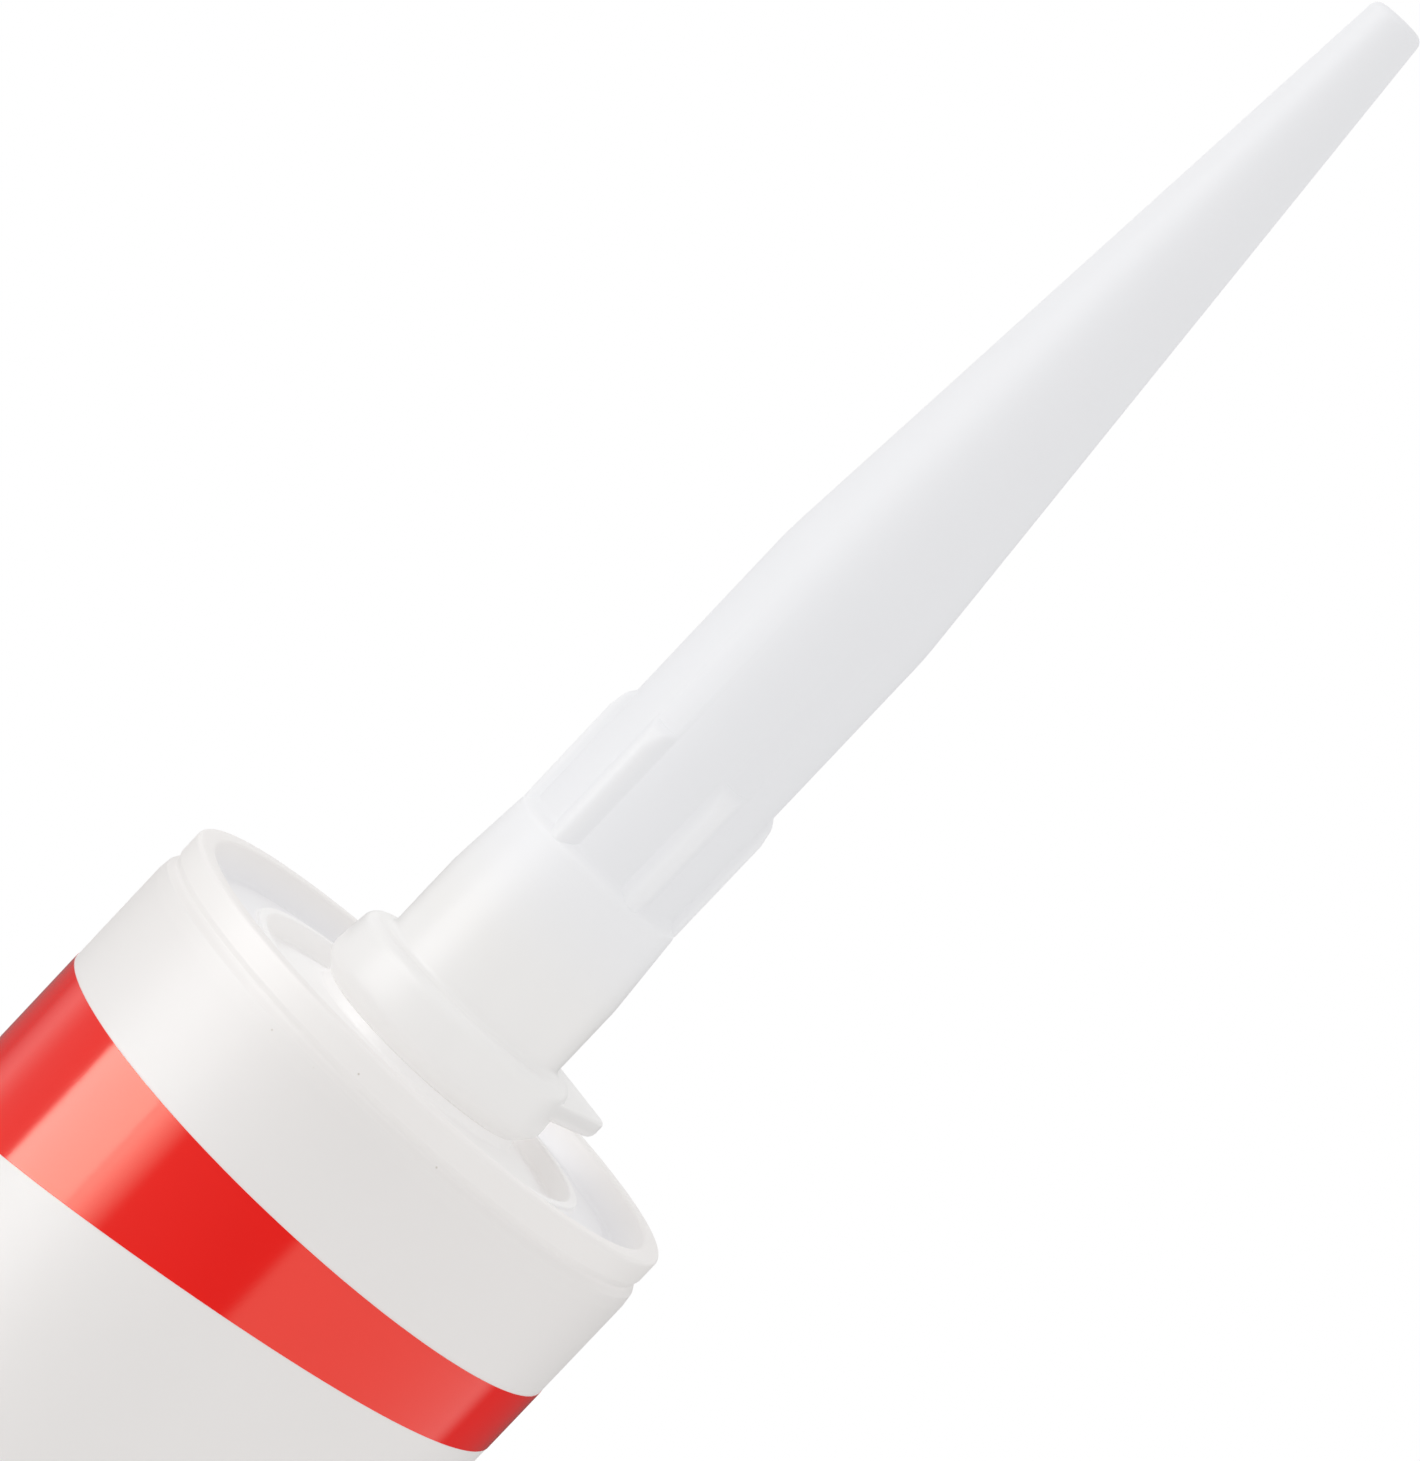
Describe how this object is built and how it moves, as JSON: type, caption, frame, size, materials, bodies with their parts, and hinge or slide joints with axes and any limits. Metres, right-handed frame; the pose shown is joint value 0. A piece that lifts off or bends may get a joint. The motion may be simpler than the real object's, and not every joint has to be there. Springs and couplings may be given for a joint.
{
  "type": "sealant cartridge with screw-on nozzle",
  "caption": "Upright sealant or caulk cartridge with a long tapered screw-on nozzle, a rear plunger and a swept red band round the barrel.",
  "frame": {"origin": "centre of the open rear rim, on the plane that it stands on", "axes": "+Z along the barrel's axis towards the nozzle's tip, -Y towards the side that the picture shows"},
  "size_m": [0.0506, 0.0506, 0.3254],
  "materials": {
    "cartridge_plastic": "gloss",
    "nozzle_plastic": "satin",
    "plunger_plastic": "satin",
    "sealant": "satin",
    "red_ink": "gloss"
  },
  "bodies": {
    "tube": {"cartridge": "cartridge_plastic", "sealant_fill": "sealant", "red_band": "red_ink"},
    "nozzle": {"nozzle": "nozzle_plastic"},
    "plunger": {"plunger": "plunger_plastic"}
  },
  "joints": [
    {"name": "plunger_slide", "type": "slide", "parent": "tube", "child": "plunger", "axis": [0, 0, 1], "range_m": [0, 0.174], "deforming": ["sealant_fill"]},
    {"name": "nozzle_lift", "type": "slide", "parent": "tube", "child": "nozzle", "axis": [0, 0, 1], "range_m": [0, 0.04]}
  ]
}
